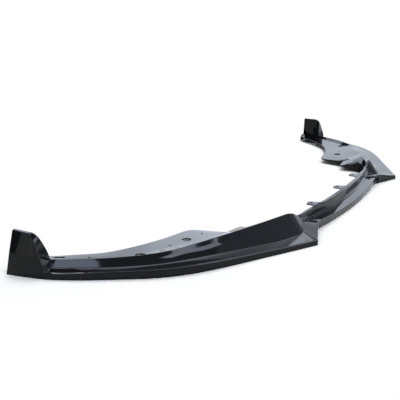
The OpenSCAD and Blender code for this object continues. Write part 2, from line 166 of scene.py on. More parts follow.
def sweepMesh(name, slices, inner):
    # A closed mesh through rings of equal length; inner marks the ring's points on the hidden wall
    rings = np.array(slices) * mm
    m, n = rings.shape[:2]
    i, j = np.meshgrid(np.arange(m - 1), np.arange(n), indexing="ij")
    k = (j + 1) % n
    quads = np.stack([i * n + j, i * n + k, (i + 1) * n + k, (i + 1) * n + j], -1).reshape(-1, 4)
    e = np.arange(n // 2 - 1)
    cap = np.stack([e, n - 1 - e, n - 2 - e, e + 1], -1)
    quads = np.vstack([quads, cap, cap[:, ::-1] + (m - 1) * n])
    points = rings.reshape(-1, 3)
    a, b, c, d = (points[quads[:, q]] for q in range(4))
    volume = (np.einsum("ij,ij->i", a, np.cross(b, c)) + np.einsum("ij,ij->i", a, np.cross(c, d))).sum()
    if volume < 0:
        quads = quads[:, ::-1]
    mesh = bpy.data.meshes.new(name)
    mesh.from_pydata(points.tolist(), [], quads.tolist())
    mark = mesh.attributes.new("hiddenWall", "FLOAT", "POINT")
    mark.data.foreach_set("value", np.tile(inner.astype(np.float32), m))
    piece = bpy.data.objects.new(name, mesh)
    bpy.context.scene.collection.objects.link(piece)
    return piece


def baked(piece):
    # The piece with its modifiers applied, as a plain mesh in the same place
    graph = bpy.context.evaluated_depsgraph_get()
    mesh = bpy.data.meshes.new_from_object(piece.evaluated_get(graph), preserve_all_data_layers=True,
                                           depsgraph=graph)
    piece.modifiers.clear()
    old = piece.data
    piece.data = mesh
    bpy.data.meshes.remove(old)
    return piece


def combine(piece, tool, operation):
    cut = piece.modifiers.new(operation, "BOOLEAN")
    cut.operation = operation
    cut.solver = "EXACT"
    cut.object = tool
    bpy.context.view_layer.update()
    baked(piece)
    bpy.data.objects.remove(tool)
    return piece


def smoothed(piece, angle):
    # Smooth faces with crisp creases, and normals that follow the large faces
    piece.data.shade_smooth()
    piece.data.set_sharp_from_angle(angle=math.radians(angle))
    even = piece.modifiers.new("evenNormals", "WEIGHTED_NORMAL")
    even.keep_sharp = True
    bpy.context.view_layer.update()
    return baked(piece)


def meshPiece(name, points, faces):
    mesh = bpy.data.meshes.new(name)
    mesh.from_pydata([tuple(p) for p in points], [], faces)
    piece = bpy.data.objects.new(name, mesh)
    bpy.context.scene.collection.objects.link(piece)
    return piece


def prism(name, outline, low, high):
    n = len(outline)
    points = [(x * mm, y * mm, z * mm) for z in (low, high) for x, y in outline]
    faces = [list(range(n))[::-1], list(range(n, 2 * n))]
    faces += [[i, (i + 1) % n, n + (i + 1) % n, n + i] for i in range(n)]
    return meshPiece(name, points, faces)


# Side sections
edgeZ, lowZ = lip["sideEdge"], lip["sideEdge"] - lip["shelfDrop"] + 1.5
footZ, cornerZ = lip["sideEdge"] + 2, lip["cornerEdge"]
seamEdge, crest, plate = lip["jointEdge"] - 5, lip["crest"], lip["plate"]
rise, flange, peak, seamX = lip["peak"] - lip["crest"], lip["flange"], lip["peak"], lip["seamX"]

# Rows are station, distance from the middle, distance forward, height, 1 at a corner
sideShape = {
    "outerEdge": [
        [0, 905, 6, 9, 0], [1, 899, 45, 9, 0], [2, 885, 100, lowZ, 0], [3, 868, 137, lowZ, 0],
        [4, 842, 184, edgeZ - 1, 0], [5, 806, 237, edgeZ, 0], [6, 771, 289, edgeZ + 1, 0],
        [7, 735, 330, edgeZ + 1, 0], [8, 690, 368, edgeZ + 1, 0], [9, 636, 402, edgeZ, 0],
        [10, 578, 434, edgeZ - 2, 0], [11, 520, 465, edgeZ - 3, 0], [12, 463, 496, cornerZ + 0.5, 0],
        [13, 415, 521, cornerZ, 0], [13.5, 380, 540, cornerZ, 1], [14, 349, 526, cornerZ + 5, 0],
        [15, 287, 499, lip["jointEdge"] - 0.5, 0], [16, seamX, 498, seamEdge, 0]],
    "footLine": [
        [0, 877, 4, edgeZ + 9, 0], [1, 874, 45, edgeZ + 6, 0], [2, 860.5, 99, footZ, 0],
        [3, 845, 132, footZ, 0], [4, 822, 173, footZ, 0], [5, 787, 225, footZ, 0],
        [6, 750, 273, footZ + 1, 0], [7, 712, 309, footZ + 1, 0], [8, 664, 343, footZ + 1, 0],
        [9, 610, 374, footZ, 0], [10, 553, 404, footZ - 2, 0], [11, 496, 435, footZ - 3, 0],
        [12, 440, 465, cornerZ + 3, 0], [13, 367, 487, cornerZ + 2, 1], [13.5, 346, 488, cornerZ + 5, 0],
        [14, 326, 478, cornerZ + 10, 0], [14.5, 308, 466, cornerZ + 14, 0],
        [15, 290, 465, cornerZ + 14, 0], [16, seamX, 465, cornerZ + 13, 0]],
    "crestLine": [
        [0, 872, 3, crest - 2, 0], [1, 867, 45, crest - 2, 0], [2, 842, 96, crest - 1, 0],
        [3, 828, 124, crest, 0], [4, 803, 164, crest + 1, 0], [5, 768, 212, crest + 2, 0],
        [6, 726, 257, crest + 3, 0], [7, 684, 292, crest + 0.14 * rise, 0],
        [8, 636, 321, crest + 0.25 * rise, 0], [9, 586, 350, crest + 0.44 * rise, 0],
        [10, 530, 379, crest + 0.6 * rise, 0], [11, 474, 405, crest + 0.75 * rise, 0],
        [12, 418, 428, crest + 0.88 * rise, 0], [13, 362, 450, peak, 1], [13.5, 343, 456, peak - 4, 0],
        [14, 327, 457, peak - 12, 0], [14.5, 311, 455, flange + 1, 0], [15, 290, 459, flange - 1, 0],
        [16, seamX, 462, flange - 2, 0]],
    "toeLine": [
        [0, 862, 2, crest - 3, 0], [1, 857, 45, crest - 4, 0], [2, 831, 92, plate + 3, 0],
        [3, 817, 116, plate + 1, 0], [4, 791, 154, plate + 1, 0], [5, 756, 201, plate + 2, 0],
        [6, 714, 245, plate + 3, 0], [7, 672, 278, plate + 7, 0], [8, 625, 306, plate + 14, 0],
        [9, 576, 336, crest + 0.36 * rise, 0], [10, 521, 366, crest + 0.48 * rise, 0],
        [11, 466, 391, crest + 0.56 * rise, 0], [12, 411, 415, crest + 0.64 * rise, 0],
        [13, 357, 438, peak - 9, 0], [13.5, 339, 446, peak - 12, 0], [14, 323, 449, flange + 3, 0],
        [14.5, 308, 450, flange, 0], [15, 290, 455, flange - 1.5, 0], [16, seamX, 458, flange - 2, 0]],
    "bendLine": [
        [0, 856, 1, plate + 2, 0], [1, 840, 45, plate + 1, 0], [2, 817, 84, plate, 0],
        [3, 799, 110, plate, 0], [4, 772, 148, plate, 0], [5, 736, 188, plate, 0],
        [6, 694, 226, plate, 0], [7, 652, 256, plate, 0], [8, 600, 280, plate, 0],
        [9, 550, 302, plate + 1, 0], [10, 503, 325, plate + 3, 0], [11, 465, 352, plate + 5, 0],
        [11.5, 437, 380, plate + 9, 0], [12, 412, 404, plate + 12, 0], [13, 362, 427, plate + 14, 0],
        [14, 326, 442, flange - 4, 0], [15, 290, 453, flange - 2, 0], [16, seamX, 456, flange - 2, 0]],
    "innerEdge": [
        [0, 848, 0, plate - 3, 0], [0.5, 832, 18, plate - 3, 0], [1, 814, 42, plate - 4, 0],
        [2, 797, 68, plate - 4, 0], [3, 768, 101, plate - 4, 0], [4, 737, 135, plate - 5, 0],
        [5, 700, 160, plate - 5, 0], [6, 648, 186, plate - 4, 0], [7, 592, 208, plate - 3, 0],
        [8, 538, 221, plate - 3, 0], [8.75, 496, 224, plate - 5, 0], [9.25, 479, 234, plate - 6, 0],
        [10, 472, 268, plate - 5, 0], [10.75, 463, 324, plate - 2, 1], [11.25, 403, 331, plate - 4, 1],
        [11.5, 399, 342, plate - 3, 1], [11.75, 412, 368, plate + 2, 0], [12, 421, 390, plate + 5, 0],
        [12.5, 402, 408, plate + 4, 0], [13, 370, 420, plate + 5, 0], [13.5, 345, 432, plate + 9, 0],
        [14, 326, 440, flange - 7, 0], [15, 290, 451, flange - 3, 0], [16, seamX, 452, flange - 2.5, 0]],
    # By station: turned-down rim, step on the edge, lean of the edge, undercut below it
    "rim": [[0, 4], [8.75, 4], [9.25, 4], [10.75, 11], [11.25, 4], [11.5, 5], [12, plate + 3],
            [12.5, 16], [13, 5], [16, 3.5]],
    "stepWidth": [[0, 3], [1.5, lip["shelfWidth"]], [3.25, lip["shelfWidth"]], [4.25, 3], [16, 3]],
    "stepHeight": [[0, 1.5], [1.5, lip["shelfDrop"]], [3.25, lip["shelfDrop"]], [4.25, 2], [12.5, 1],
                   [16, 0.8]],
    "lean": [[0, -2.5], [1.8, -2.5], [2, 0], [13.5, 0], [15, 7], [16, 5]],
    "undercut": [[0, 1], [13.5, 1], [15, 13], [15.01, 1], [16, 1]],
    # By distance forward: top edges of the winglet as shares of its height, and their places
    "wingOuterHeight": [[57, 1], [61, 0.975], [67, 0.945], [73.5, 0.89], [77, 0.82], [81, 0.71],
                        [86, 0.59], [90.5, 0.47], [94.5, 0.35], [98, 0.22], [101, 0.12]],
    "wingInnerHeight": [[63, 1], [69, 0.975], [74.5, 0.945], [79, 0.89], [80.5, 0.82], [82.5, 0.71],
                        [85, 0.59], [87, 0.47], [88.5, 0.36], [91, 0.3]],
    "wingOuterX": [[6, 880], [45, 881], [61, 881.5], [73, 884], [100, 885]],
    "wingInnerX": [[45, 0], [74.5, 0], [79, 2], [80.5, 5], [82.5, 9.5], [85, 14.5], [88.5, 24]],
    "wingFootX": [[6, 881], [45, 868], [75, 856], [88, 843], [100, 838]],
    "wingTopX": 880.5, "wingLeast": 0.4,
    # Where the winglet runs out into the edge and the blade, by distance forward
    "edgeBlend": [[96, 0], [101, 1]], "wingBlend": [[88, 0], [99, 1]],
    # Shares of the width and height at which its outer face bulges and its inner face is hollowed
    "wingBulge": (0.45, 0.5), "wingHollow": (0.3, 0.45),
    # How far its top leans back, by station, and how many wall thicknesses ahead its hidden wall is read
    "wingLag": [[0, 5], [1, 0]], "wallAhead": 0.75,
    # How far the face between foot and crest is hollowed halfway up, by station
    "waist": [[5, 0.02], [6.3, 1.2], [9.5, 1.2], [12, 0.02]],
    # Last station of the winglet and of the closed rear end, the front corner and the start of the pad
    "wingEnd": 2.1, "rearClosed": 0.07, "corner": 13.5, "padStart": 15,
    # Height of the hidden wall's first point at the closed rear end, and what each point and millimetre adds
    "rearFan": (0.6, 0.02, 0.03),
    # Slices: single stations, close ones around the corners, and stretches with their steps
    "single": [0, 0.07, 0.1, 10.75, 11.25, 11.5, 13.5, 15, 15.01, 16],
    "close": {"around": [13, 13.5], "reach": 0.06, "count": 13},
    "stretches": [[0.13, 2.14, 0.025], [2.15, 16, 0.045]],
    # Small rises that start the edge's face and end its step
    "soleRise": 0.5, "stepRise": 0.4,
    "radii": {"sole": 0.5, "edge": 1.5, "step": 1, "foot": 5, "waist": 400, "crest": 3, "toe": 3, "bend": 16,
              "rim": 2, "wingFace": 12, "wingOuter": 2.5, "wingInner": 3, "wingFoot": 4},
    "step": 0.005, "fairing": 0.35, "crease": 0.012, "cornerSteps": 5,
}
sideCurves = {name: faired(sideShape[name], sideShape["step"], sideShape["fairing"], sideShape["crease"])
              for name in ("outerEdge", "footLine", "crestLine", "toeLine", "bendLine", "innerEdge")}


def wingProfile(edgeX, y, z):
    # The winglet at a distance forward: its outer face, its top and its inner face
    radius, height = sideShape["radii"], lip["winglet"]
    outerZ = height * softLook(sideShape["wingOuterHeight"], y)
    innerZ = max(height * softLook(sideShape["wingInnerHeight"], y), z[2] + 1)
    outer = max(sideShape["wingLeast"], edgeX - softLook(sideShape["wingOuterX"], y))
    inner = edgeX - (sideShape["wingTopX"] - lip["wingletTop"] - softLook(sideShape["wingInnerX"], y))
    base, baseZ = edgeX - softLook(sideShape["wingFootX"], y), z[2] - 1
    bulge, bulgeZ = sideShape["wingBulge"]
    hollow, hollowZ = sideShape["wingHollow"]
    return [[outer * bulge, max(outerZ * bulgeZ, z[0]), radius["wingFace"]],
            [outer, outerZ, radius["wingOuter"]], [inner, innerZ, radius["wingInner"]],
            [inner + hollow * (base - inner), hollowZ * innerZ + (1 - hollowZ) * baseZ, radius["wingFace"]],
            [base, baseZ, radius["wingFoot"]]]


def sideProfile(t, places, run, ahead):
    # Rows of distance across, height and corner radius, from the bottom of the edge to the rim
    radius, z = sideShape["radii"], [v[2] for v in places]
    wide, high = look(sideShape["stepWidth"], t), look(sideShape["stepHeight"], t)
    out, under = -look(sideShape["lean"], t), look(sideShape["undercut"], t)
    tilt, over = out / z[0], under + sideShape["soleRise"]
    cut = sideShape["corner"] < t <= sideShape["padStart"]
    sole = [[0, 0, 0], [0 if cut else under * tilt, under, radius["sole"]],
            [out if cut else over * tilt, over, radius["sole"]]]
    blade = [[out, z[0], radius["edge"]], [out + wide, z[0] + sideShape["stepRise"], radius["step"]],
             [out + wide + high / 2, z[0] + high, radius["step"]],
             [run[1], z[1], radius["foot"]], [run[2], z[2], radius["crest"]]]
    if t <= sideShape["wingEnd"]:
        y = places[0][1] + ahead
        edgeShare, restShare = softLook(sideShape["edgeBlend"], y), softLook(sideShape["wingBlend"], y)
        shares = [edgeShare] * 2 + [restShare] * 3
        blade = [[(1 - share) * a + share * b for a, b in zip(wingRow, bladeRow)]
                 for share, wingRow, bladeRow in zip(shares, wingProfile(places[0][0], y, z), blade)]
    start, end = np.array(blade[3][:2]), np.array(blade[4][:2])
    climb = unit(end - start)
    waist = (start + end) / 2 + look(sideShape["waist"], t) * np.array([climb[1], -climb[0]])
    blade.insert(4, [*waist, radius["waist"]])
    rear = [[run[3], z[3], radius["toe"]], [run[4], z[4], radius["bend"]], [run[5], z[5], radius["rim"]],
            [run[5], z[5] - look(sideShape["rim"], t), 0]]
    return sole + blade + rear


def sideSlice(t):
    places = [at(curve, t) for curve in sideCurves.values()]
    plan = np.array([v[:2] for v in places])
    run = np.concatenate([[0], np.cumsum(np.linalg.norm(np.diff(plan, axis=0), axis=1))])
    steps = sideShape["cornerSteps"]
    ahead = sideShape["wallAhead"] * lip["wall"] if t < sideShape["wingEnd"] else 0
    outer = rounded(sideProfile(t, places, run, 0), steps)
    inner = inset(sideProfile(t, places, run, ahead), lip["wall"], steps)
    if t <= sideShape["rearClosed"]:
        # The hidden wall lies low here, so that the next slices close the rear end
        first, each, rising = sideShape["rearFan"]
        inner = [np.array([p[0], first + each * i + rising * p[1]]) for i, p in enumerate(inner)]
    ring = []
    for across, height in outer + inner[::-1]:
        i = int(np.clip(np.searchsorted(run, across, "right") - 1, 0, len(run) - 2))
        place = plan[i] + (plan[i + 1] - plan[i]) * (across - run[i]) / (run[i + 1] - run[i])
        lag = look(sideShape["wingLag"], t) * height / lip["winglet"]
        ring.append([place[0], lipDepth / 2 - place[1] - lag, height])
    return ring


# Holes: distance from the middle, distance forward, then the diameter, or the length and width, or for the
# screw's seat its height and diameter. Cutters reach through the plate, or just above and below the seat.
holes = {"round": [(781, 141, 7), (619, 255, 7), (503, 276, 7), (397, 517, 5),
                   (711, 233, 25), (564, 268, 25)],
         "slot": (813.5, 80.5, 27, 14), "slotTurn": 56,
         "screwSeat": (291, 478, 28, 12), "screwBore": 5.6, "tongueBore": 5.3,
         "through": (-5, 80), "aboveSeat": 3, "belowSeat": 6}


def longOutline(x, forward, length, width, turn, steps=20):
    r, reach, y = width / 2, (length - width) / 2, lipDepth / 2 - forward
    across, along = math.cos(math.radians(turn)), math.sin(math.radians(turn))
    half = np.linspace(-math.pi / 2, math.pi / 2, steps)
    local = [(reach + r * math.cos(b), r * math.sin(b)) for b in half]
    local += [(-px, -py) for px, py in local]
    return [(x + px * across - py * along, y + px * along + py * across) for px, py in local]


def ringOutline(x, forward, d, steps=48):
    return [(x + d / 2 * math.cos(b), lipDepth / 2 - forward + d / 2 * math.sin(b))
            for b in np.linspace(0, 2 * math.pi, steps, endpoint=False)]


def sideSection(name):
    close, stretches = sideShape["close"], sideShape["stretches"]
    spread = np.linspace(-close["reach"], close["reach"], close["count"])
    near = [middle + d for middle in close["around"] for d in spread]
    stations = np.concatenate([sideShape["single"], near, *(np.arange(*stretch) for stretch in stretches)])
    slices = [sideSlice(t) for t in np.unique(np.round(stations, 4))]
    n = len(slices[0])
    piece = sweepMesh(name, slices, np.arange(n) >= n // 2)
    for i, (x, forward, d) in enumerate(holes["round"]):
        combine(piece, prism(f"{name}Hole{i}", ringOutline(x, forward, d), *holes["through"]), "DIFFERENCE")
    slot = longOutline(*holes["slot"], holes["slotTurn"])
    combine(piece, prism(name + "Slot", slot, *holes["through"]), "DIFFERENCE")
    x, forward, seat, d = holes["screwSeat"]
    above = seat + holes["aboveSeat"]
    combine(piece, prism(name + "Seat", ringOutline(x, forward, d), seat, above), "DIFFERENCE")
    bore = ringOutline(x, forward, holes["screwBore"])
    combine(piece, prism(name + "Bore", bore, seat - holes["belowSeat"], above), "DIFFERENCE")
    return smoothed(piece, crispAngles["mouldings"])


def mirrored(piece, name):
    mesh = piece.data.copy()
    mesh.transform(Matrix.Scale(-1, 4, (1, 0, 0)))
    mesh.flip_normals()
    other = bpy.data.objects.new(name, mesh)
    bpy.context.scene.collection.objects.link(other)
    return smoothed(other, crispAngles["mouldings"])


leftSide = sideSection("leftSide")
rightSide = mirrored(leftSide, "rightSide")
print("side sections made:", len(leftSide.data.polygons), "faces each")


# Centre section, in the same rows
ce = lip["centreEdge"]
centreShape = {
    "bottom": [[0, 0, 516, 0, 0], [60, 60, 515.5, 0, 0], [130, 130, 511, 0, 0], [196, 196, 506, 0, 0],
               [260, 260, 498, 0, 0]],
    "edge": [[0, 0, 516, ce - 3, 0], [119, 119, 512.5, ce - 1, 0], [163, 163, 510, ce + 1, 0],
             [204, 204, 508, ce + 3.5, 0], [260, 260, 503, seamEdge, 0]],
    "foot": [[0, 0, 486, ce + 5, 0], [125, 125, 481, ce + 4, 0], [187, 187, 474, ce + 4.5, 0],
             [217, 217, 470.5, ce + 5, 0], [260, 260, 465, ce + 6, 0]],
    "crest": [[0, 0, 485, flange + 1.5, 0], [125, 125, 479, flange + 0.5, 0], [191, 191, 473, flange - 1, 0],
              [230, 230, 468, flange - 1.5, 0], [260, 260, 462, flange - 2, 0]],
    "rear": [[0, 0, 487 - lip["flangeDepth"], flange + 7, 0],
             [125, 125, 479 - lip["flangeDepth"], flange + 3, 0],
             [191, 191, 474 - lip["flangeDepth"], flange + 1.5, 0],
             [230, 230, 467 - lip["flangeDepth"], flange, 0], [260, 260, 452, flange - 2, 0]],
    # The edge's lower chamfer, and the low ridge in front of the foot: how far before and below it
    "chamfer": (2.5, 3.5), "ridge": ((8, 2.5), (6, 1)), "rearLip": 2,
    "radii": {"chamfer": 1, "edge": 2, "ridge": 1, "foot": 3, "crest": 3, "rear": 2},
    "slices": 180, "fairing": 14, "cornerSteps": 5,
}
tab = {"x": 187, "width": 30, "length": 28, "holeBack": 11, "hole": 8.5, "holeReach": 9, "flare": 8,
       "start": 1.5}
# The tongue under the pad: shares of the ledge that it spans, its drop below the surface, the stations of its
# slices under the side section, and how far inside the seam the others lie
tongue = {"front": 0.2, "rear": 0.82, "underPad": 3.66, "underLedge": 1.5, "padStations": (14.5, 16, 13),
          "atSeam": 1, "underEdge": (3, 14)}


def centreCurve(rows):
    # Both halves together, so that the curve runs smoothly over the middle
    x = np.linspace(-seamX, seamX, 2 * seamX + 1)
    p = np.array([onRows(rows, abs(v)) for v in x])
    p[:, 0] = x
    p[:, 1:] = blurred(np.pad(p[:, 1:], ((0, 0), (0, 1))), centreShape["fairing"])[:, :2]
    return x, p


centreCurves = [centreCurve(centreShape[name]) for name in ("bottom", "edge", "foot", "crest", "rear")]


def centreSlice(x):
    places = [at(curve, x) for curve in centreCurves]
    y, z = [places[0][1] - v[1] for v in places], [v[2] for v in places]
    radius, steps = centreShape["radii"], centreShape["cornerSteps"]
    back, up = centreShape["chamfer"]
    profile = [[back, 0, 0], [0, up, radius["chamfer"]], [y[1], z[1], radius["edge"]]]
    profile += [[y[2] - before, z[2] - below, radius["ridge"]] for before, below in centreShape["ridge"]]
    profile += [[y[2], z[2], radius["foot"]], [y[3], z[3], radius["crest"]], [y[4], z[4], radius["rear"]],
                [y[4], z[4] - lip["wall"] - centreShape["rearLip"], 0]]
    ring = rounded(profile, steps) + inset(profile, lip["wall"], steps)[::-1]
    return [[x, lipDepth / 2 - places[0][1] + p[0], p[1]] for p in ring]


def tabOutline(x):
    half, r = tab["width"] / 2, tab["width"] / 3
    right = [(half + tab["flare"], -tab["start"]), (half, tab["flare"])]
    right += [(half - r + r * math.cos(a), tab["length"] - r + r * math.sin(a))
              for a in np.linspace(0, math.pi / 2, 12)]
    rear = at(centreCurves[4], x)[1]
    whole = right + [(-px, py) for px, py in right[::-1]]
    return [(x + px, lipDepth / 2 - rear + py) for px, py in whole]


def tongueMesh(name, side):
    # From under the centre section's ledge to under the side section's pad
    rows = [(at(sideCurves["outerEdge"], t), at(sideCurves["footLine"], t), tongue["underPad"])
            for t in np.linspace(*tongue["padStations"])]
    inside = [(tongue["atSeam"], tongue["underPad"])]
    inside += [(d, tongue["underLedge"]) for d in tongue["underEdge"]]
    rows += [(at(centreCurves[1], seamX - d), at(centreCurves[2], seamX - d), drop) for d, drop in inside]
    slices = []
    for edge, foot, drop in rows:
        a, b = (edge + (foot - edge) * tongue[k] for k in ("front", "rear"))
        ring = [(a, drop), (b, drop), (b, drop + lip["wall"]), (a, drop + lip["wall"])]
        slices.append([[side * v[0], lipDepth / 2 - v[1], v[2] - down] for v, down in ring])
    return sweepMesh(name, slices, np.array([False, False, True, True]))


def centreSection():
    half, count = seamX - lip["seamGap"], centreShape["slices"]
    slices = [centreSlice(half * (2 * i / count - 1)) for i in range(count + 1)]
    n = len(slices[0])
    piece = sweepMesh("centreBody", slices, np.arange(n) >= n // 2)
    for i, x in enumerate((-tab["x"], 0, tab["x"])):
        rear, top = at(centreCurves[4], x)[1:]
        combine(piece, prism(f"tab{i}", tabOutline(x), top - lip["wall"], top), "UNION")
        hole = ringOutline(x, rear - tab["length"] + tab["holeBack"], tab["hole"])
        reach = tab["holeReach"]
        combine(piece, prism(f"tabHole{i}", hole, top - reach, top + reach), "DIFFERENCE")
    for side in (-1, 1):
        combine(piece, tongueMesh("tongue", side), "UNION")
        x, forward, seat, d = holes["screwSeat"]
        bore = ringOutline(side * x, forward, holes["tongueBore"])
        combine(piece, prism("tongueBore", bore, 0, seat), "DIFFERENCE")
    return smoothed(piece, crispAngles["mouldings"])


centreBody = centreSection()
print("centre section made:", len(centreBody.data.polygons), "faces")


# Materials
class Wire:
    # A node's socket that can be used in sums
    def __init__(self, tree, socket):
        self.tree, self.socket = tree, socket

    def out(self, name):
        # Another output of the same node
        return Wire(self.tree, self.socket.node.outputs[name])

    def maths(self, kind, other, swap=False):
        a, b = (other, self) if swap else (self, other)
        return self.tree.add("ShaderNodeMath", {"operation": kind}, {0: a, 1: b})

    def __add__(self, other):
        return self.maths("ADD", other)

    def __sub__(self, other):
        return self.maths("SUBTRACT", other)

    def __rsub__(self, other):
        return self.maths("SUBTRACT", other, True)

    def __mul__(self, other):
        return self.maths("MULTIPLY", other)

    def __radd__(self, other):
        return self.maths("ADD", other, True)

    def __rmul__(self, other):
        return self.maths("MULTIPLY", other, True)


class Tree:
    def __init__(self, tree):
        self.tree = tree
        tree.nodes.clear()

    def add(self, kind, settings=None, values=None, out=0):
        # A value is a number, a colour, a wire, or a list of wires for a socket that takes several
        node = self.tree.nodes.new(kind)
        for name, value in (settings or {}).items():
            setattr(node, name, value)
        for key, value in (values or {}).items():
            wires = value if isinstance(value, list) else [value]
            if isinstance(wires[0], Wire):
                for wire in wires:
                    self.tree.links.new(wire.socket, node.inputs[key])
            else:
                node.inputs[key].default_value = value
        return Wire(self, node.outputs[out]) if len(node.outputs) else node


def newMaterial(name):
    material = bpy.data.materials.new(name)
    material.use_nodes = True
    return material, Tree(material.node_tree)


def noise(t, place, scale, detail):
    return t.add("ShaderNodeTexNoise", {}, {"Vector": place, "Scale": scale, "Detail": detail})


def mixedTone(t, factor, tones):
    # Sockets 6 and 7, and output 2, are the mix node's colours
    return t.add("ShaderNodeMix", {"data_type": "RGBA"},
                 {0: factor, 6: tones["dark"], 7: tones["light"]}, out=2)


glossPaint = {"dark": (0.0035, 0.0037, 0.0044, 1), "light": (0.0055, 0.0058, 0.0068, 1), "ior": 1.27,
              "roughness": 0.035, "hiddenRoughness": 0.32, "cloudRoughness": 0.02, "dustRoughness": 0.012,
              "cloudScale": 9.0, "dustScale": 900.0,
              "peelScale": 260.0, "peelHeight": 0.000006, "peelStrength": 0.25}


def glossBlack():
    paint = glossPaint
    material, t = newMaterial("glossBlackPlastic")
    place = t.add("ShaderNodeTexCoord", out=3)
    cloud = noise(t, place, paint["cloudScale"], 4.0)
    peel = noise(t, place, paint["peelScale"], 2.0)
    dust = noise(t, place, paint["dustScale"], 1.0)
    hidden = t.add("ShaderNodeAttribute", {"attribute_name": "hiddenWall"}, out=2)
    tone = mixedTone(t, cloud, paint)
    rough = paint["roughness"] + cloud * paint["cloudRoughness"] + dust * paint["dustRoughness"] \
        + hidden * paint["hiddenRoughness"]
    bump = t.add("ShaderNodeBump", {}, {"Strength": paint["peelStrength"], "Distance": paint["peelHeight"],
                                        "Height": peel})
    shade = t.add("ShaderNodeBsdfPrincipled", {}, {
        "Base Color": tone, "Roughness": rough, "Normal": bump, "IOR": paint["ior"]})
    t.add("ShaderNodeOutputMaterial", {}, {"Surface": shade})
    return material


screwFinish = {"dark": (0.035, 0.036, 0.04, 1), "light": (0.09, 0.09, 0.095, 1), "metallic": 0.9,
               "roughness": 0.34, "grainRoughness": 0.15, "grainScale": 1400.0}


def screwSteel():
    material, t = newMaterial("blackZincSteel")
    grain = noise(t, t.add("ShaderNodeTexCoord", out=3), screwFinish["grainScale"], 3.0)
    rough = screwFinish["roughness"] + grain * screwFinish["grainRoughness"]
    tone = mixedTone(t, grain, screwFinish)
    shade = t.add("ShaderNodeBsdfPrincipled", {}, {
        "Base Color": tone, "Metallic": screwFinish["metallic"], "Roughness": rough})
    t.add("ShaderNodeOutputMaterial", {}, {"Surface": shade})
    return material


black, steel = glossBlack(), screwSteel()
for piece in (leftSide, rightSide, centreBody):
    piece.data.materials.clear()
    piece.data.materials.append(black)
print("materials made")


# Joining screws, by geometry nodes, on the seats
seatX, seatForward, seatZ = holes["screwSeat"][:3]
screws = {"Head Radius": 4.5 * mm, "Head Height": 2.6 * mm, "Shank Radius": 2.45 * mm,
          "Shank Length": 10.5 * mm, "Socket Radius": 1.59 * mm, "Spread": seatX * mm,
          "Forward": (seatForward - lipDepth / 2) * mm, "Seat": seatZ * mm}
# A block keeps the half of the head's ball above the seat: its width and its middle's height are shares of
# the head's radius. The socket's depth and middle are shares of the head's height, and the shank's middle is
# a share of its length.
screwShares = {"block": 3.0, "blockMiddle": 1.5, "socketDepth": 2.0, "socketMiddle": 1.35,
               "shankMiddle": -0.49}


def jointScrews():
    tree = bpy.data.node_groups.new("jointScrews", "GeometryNodeTree")
    sockets = {n: tree.interface.new_socket(name=n, in_out="INPUT", socket_type="NodeSocketFloat")
               for n in screws}
    tree.interface.new_socket(name="Geometry", in_out="OUTPUT", socket_type="NodeSocketGeometry")
    g = Tree(tree)
    given = g.add("NodeGroupInput")
    size = {n: given.out(n) for n in screws}

    def vector(x, y, z):
        return g.add("ShaderNodeCombineXYZ", {}, {"X": x, "Y": y, "Z": z})

    def raised(shape, height):
        lift = vector(0.0, 0.0, height)
        return g.add("GeometryNodeTransform", {}, {"Geometry": shape, "Translation": lift})

    def cylinder(sides, radius, depth):
        return g.add("GeometryNodeMeshCylinder", {}, {"Vertices": sides, "Radius": radius, "Depth": depth})

    flat = size["Head Height"].maths("DIVIDE", size["Head Radius"])
    ball = g.add("GeometryNodeMeshUVSphere", {}, {"Segments": 48, "Rings": 32, "Radius": size["Head Radius"]})
    ball = g.add("GeometryNodeTransform", {}, {"Geometry": ball, "Scale": vector(1.0, 1.0, flat)})
    wide = size["Head Radius"] * screwShares["block"]
    block = g.add("GeometryNodeMeshCube", {}, {"Size": vector(wide, wide, wide)})
    block = raised(block, size["Head Radius"] * screwShares["blockMiddle"])
    dome = g.add("GeometryNodeMeshBoolean", {"operation": "INTERSECT"}, {1: [ball, block]})
    key = cylinder(6, size["Socket Radius"], size["Head Height"] * screwShares["socketDepth"])
    key = raised(key, size["Head Height"] * screwShares["socketMiddle"])
    head = g.add("GeometryNodeMeshBoolean", {"operation": "DIFFERENCE"}, {0: dome, 1: key})
    shank = cylinder(32, size["Shank Radius"], size["Shank Length"])
    shank = raised(shank, size["Shank Length"] * screwShares["shankMiddle"])
    whole = g.add("GeometryNodeMeshBoolean", {"operation": "UNION"}, {1: [head, shank]})
    back = size["Forward"] * -1.0
    spots = g.add("GeometryNodeMeshLine", {"mode": "END_POINTS"}, {
        "Count": 2, "Start Location": vector(size["Spread"] * -1.0, back, size["Seat"]),
        "Offset": vector(size["Spread"], back, size["Seat"])})
    copies = g.add("GeometryNodeInstanceOnPoints", {}, {"Points": spots, "Instance": whole})
    real = g.add("GeometryNodeRealizeInstances", {}, {"Geometry": copies})
    painted = g.add("GeometryNodeSetMaterial", {}, {"Geometry": real, "Material": steel})
    g.add("NodeGroupOutput", {}, {"Geometry": painted})

    holder = meshPiece("joiningScrews", [(0, 0, 0)], [])
    build = holder.modifiers.new("jointScrews", "NODES")
    build.node_group = tree
    for n, socket in sockets.items():
        build[socket.identifier] = float(screws[n])
    bpy.context.view_layer.update()
    return smoothed(baked(holder), crispAngles["screws"])


joiningScrews = jointScrews()
print("screws made:", len(joiningScrews.data.polygons), "faces")

for piece, node, slot in ((leftSide, "left_section", "gloss_black"),
                          (rightSide, "right_section", "gloss_black"),
                          (centreBody, "centre_section", "gloss_black"),
                          (joiningScrews, "joint_screws", "screw_steel")):
    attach(piece, "root")
    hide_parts(node)


